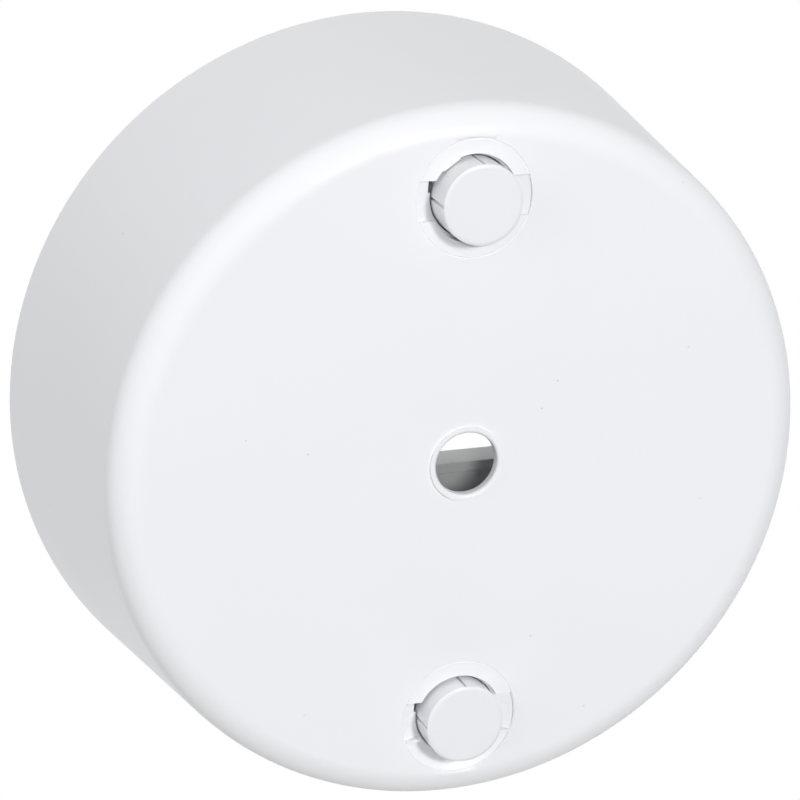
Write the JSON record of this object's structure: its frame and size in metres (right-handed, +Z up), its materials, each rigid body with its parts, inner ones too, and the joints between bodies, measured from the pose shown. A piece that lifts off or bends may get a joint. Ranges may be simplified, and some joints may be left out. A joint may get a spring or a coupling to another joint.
{
  "type": "electrical ceiling rose",
  "caption": "Round white ceiling rose: a tapered cup over a base plate with terminals and cord clamp, held by quarter-turn knobs, with a cord hole in the middle.",
  "frame": {"origin": "centre of the ceiling plane, midway between the two fixing slots", "axes": "+Z up into the ceiling, so the rose hangs below zero; the two knobs lie on the Y line, the fixing slots on the X line"},
  "size_m": [0.0854, 0.0854, 0.0364],
  "materials": {
    "cover_white": "satin",
    "knob_white": "satin",
    "base_white": "satin",
    "housing_cream": "satin",
    "brass": "machined",
    "screw_steel": "zinc plated"
  },
  "bodies": {
    "base": {"base_plate": "base_white", "terminal_housing": "housing_cream", "cord_clamp_bar": "base_white", "terminal_clamp_1": "brass", "terminal_clamp_2": "brass", "terminal_clamp_3": "brass", "terminal_clamp_4": "brass", "terminal_screw_1": "screw_steel", "terminal_screw_2": "screw_steel", "terminal_screw_3": "screw_steel", "terminal_screw_4": "screw_steel", "terminal_screw_5": "screw_steel", "terminal_screw_6": "screw_steel", "terminal_screw_7": "screw_steel", "terminal_screw_8": "screw_steel", "cord_clamp_screw_1": "screw_steel", "cord_clamp_screw_2": "screw_steel"},
    "cover": {"cover": "cover_white"},
    "knob_upper": {"knob_upper": "knob_white"},
    "knob_lower": {"knob_lower": "knob_white"}
  },
  "joints": [
    {"name": "cover_slide", "type": "slide", "parent": "base", "child": "cover", "axis": [0, 0, -1], "range_m": [0, 0.05]},
    {"name": "knob_upper_turn", "type": "hinge", "parent": "base", "child": "knob_upper", "pos_m": [0, 0.03, -0.03], "axis": [0, 0, 1], "range_deg": [0, 90]},
    {"name": "knob_lower_turn", "type": "hinge", "parent": "base", "child": "knob_lower", "pos_m": [0, -0.03, -0.03], "axis": [0, 0, 1], "range_deg": [0, 90]}
  ]
}
